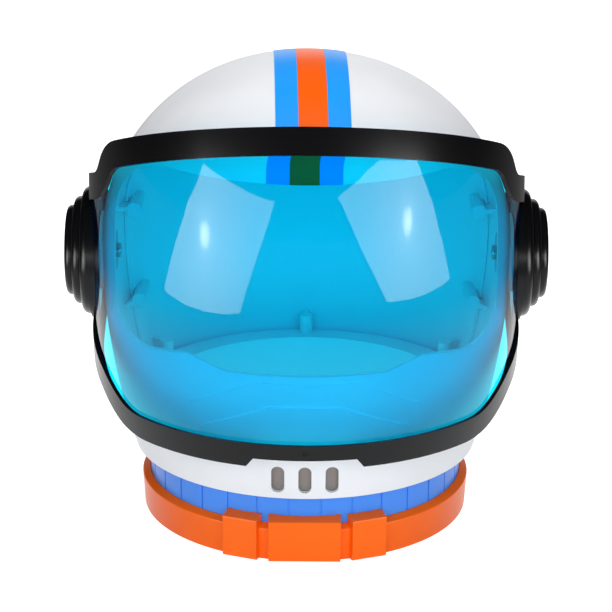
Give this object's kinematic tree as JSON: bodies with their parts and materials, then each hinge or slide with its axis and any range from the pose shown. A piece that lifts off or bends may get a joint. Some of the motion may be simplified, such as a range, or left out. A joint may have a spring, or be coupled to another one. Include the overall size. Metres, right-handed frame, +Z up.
{
  "type": "astronaut helmet",
  "caption": "Toy astronaut helmet: thin round shell on a ribbed collar and neck ring, with a see-through visor that lifts on side knobs.",
  "frame": {"origin": "centre of the neck opening, on the underside of the neck ring", "axes": "+Z up, the face looks along -Y, the visor's hinge runs along X"},
  "size_m": [0.2906, 0.2727, 0.2828],
  "materials": {
    "shell_white": "smooth moulded plastic, light gloss",
    "film_orange": "glossy adhesive film",
    "film_blue": "glossy adhesive film",
    "backing_taupe": "matte moulded plastic",
    "collar_blue": "moulded plastic with upright grooves",
    "ring_orange": "smooth moulded plastic",
    "frame_black": "smooth black plastic, soft gloss",
    "lens_blue": "clear tinted plastic, glossy",
    "screw_steel": "zinc plated steel",
    "bush_natural": "natural nylon",
    "washer_rubber": "black rubber"
  },
  "bodies": {
    "shell": {"shell_front": "shell_white", "shell_rear": "shell_white", "shell_screws": "screw_steel", "stripe_orange": "film_orange", "stripe_blue": "film_blue", "vent_backing": "backing_taupe", "collar": "collar_blue", "collar_screws": "screw_steel", "neck_ring": "ring_orange", "ring_screws": "screw_steel", "block_left": "ring_orange", "block_centre": "ring_orange", "block_right": "ring_orange", "pivot_bush_left": "bush_natural", "pivot_bush_right": "bush_natural", "friction_washer_left": "washer_rubber", "friction_washer_right": "washer_rubber"},
    "visor": {"lens": "lens_blue", "visor_frame": "frame_black", "frame_rivet": "frame_black", "knob_left": "frame_black", "knob_right": "frame_black", "retainer_left": "screw_steel", "retainer_right": "screw_steel", "pivot_screw_left": "screw_steel", "pivot_screw_right": "screw_steel"}
  },
  "joints": [
    {"name": "visor_hinge", "type": "hinge", "parent": "shell", "child": "visor", "pos_m": [0, 0, 0.1605], "axis": [-1, 0, 0], "range_deg": [0, 80]}
  ]
}
